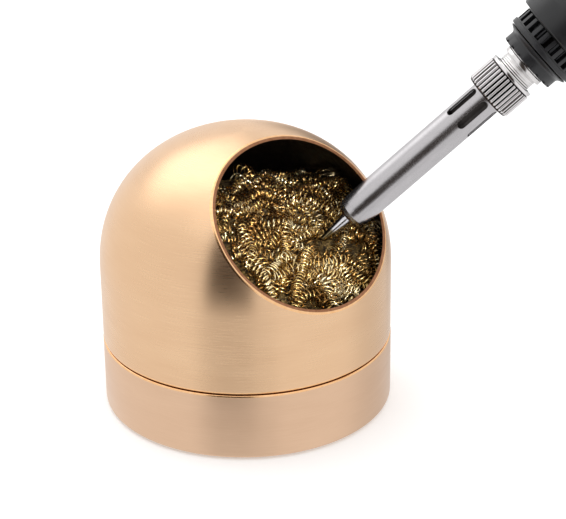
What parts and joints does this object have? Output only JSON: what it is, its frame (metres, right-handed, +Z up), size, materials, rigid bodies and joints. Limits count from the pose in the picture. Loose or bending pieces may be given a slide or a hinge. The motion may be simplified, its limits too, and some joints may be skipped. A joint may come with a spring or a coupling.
{
  "type": "soldering iron station",
  "caption": "Domed brass-wool tip-cleaner pot with a slanted round mouth, and a pencil soldering iron parked in it with its tip on the wool.",
  "frame": {"origin": "centre of the pot's round rubber pad, on the surface the pot stands on", "axes": "+Z up along the pot's axis; -Y is the side the slanted mouth faces; +X completes the frame, and the iron leans out to +X and -Y, 41.3 degrees above the surface"},
  "size_m": [0.1685, 0.1404, 0.1758],
  "materials": {
    "rose_metal": "satin rose-gold plate with fine turned lines",
    "pad_rubber": "matte",
    "brass_wool": "loose ball of bright curled brass ribbon",
    "plated_tip": "polished plate",
    "ceramic": "matte white",
    "sleeve_steel": "satin, heat tint at the mouth",
    "nut_metal": "bright plate",
    "black_phenolic": "matte moulded",
    "handle_plastic": "satin moulded",
    "grip_rubber": "soft matte",
    "spring_wire": "bright wire",
    "board": "phenolic board",
    "green_wire": "matte insulation",
    "tinned_pin": "tinned",
    "lead_wire": "bare wire"
  },
  "bodies": {
    "stand": {"base_cup": "rose_metal", "foot_pad": "pad_rubber"},
    "cover": {"dome_shell": "rose_metal", "brass_wool": "brass_wool"},
    "iron": {"soldering_tip": "plated_tip", "heating_element": "ceramic", "nipple": "nut_metal", "nose_collar": "black_phenolic", "vent_ring": "black_phenolic", "handle_body": "handle_plastic", "grip_cover": "grip_rubber", "spring_sleeve": "sleeve_steel", "grounding_spring": "spring_wire", "terminal_board": "board", "ground_lead": "green_wire", "cord_stopper": "black_phenolic", "rear_cap": "handle_plastic", "board_pin_1": "tinned_pin", "board_pin_2": "tinned_pin", "board_pin_3": "tinned_pin", "board_pin_4": "tinned_pin", "board_pin_5": "tinned_pin", "board_pin_6": "tinned_pin", "heater_lead_1": "lead_wire", "heater_lead_2": "lead_wire", "heater_lead_3": "lead_wire", "heater_lead_4": "lead_wire"},
    "sleeve": {"tip_sleeve": "sleeve_steel"},
    "nut": {"sleeve_nut": "nut_metal"}
  },
  "joints": [
    {"name": "cover_lift", "type": "slide", "parent": "stand", "child": "cover", "axis": [0, 0, 1], "range_m": [0, 0.03]},
    {"name": "iron_draw", "type": "slide", "parent": "cover", "child": "iron", "axis": [0.6163, -0.4306, 0.6593], "range_m": [0, 0.08]},
    {"name": "sleeve_slide", "type": "slide", "parent": "iron", "child": "sleeve", "axis": [-0.6163, 0.4306, -0.6593], "range_m": [0, 0.003]},
    {"name": "nut_spin", "type": "hinge", "parent": "sleeve", "child": "nut", "pos_m": [0.04233, -0.03996, 0.07767], "axis": [-0.6163, 0.4306, -0.6593], "range_deg": [0, 1440]}
  ],
  "couplings": [
    {"joint": "nut_spin", "follows": "sleeve_slide", "rad_per_m": 8377.6}
  ]
}
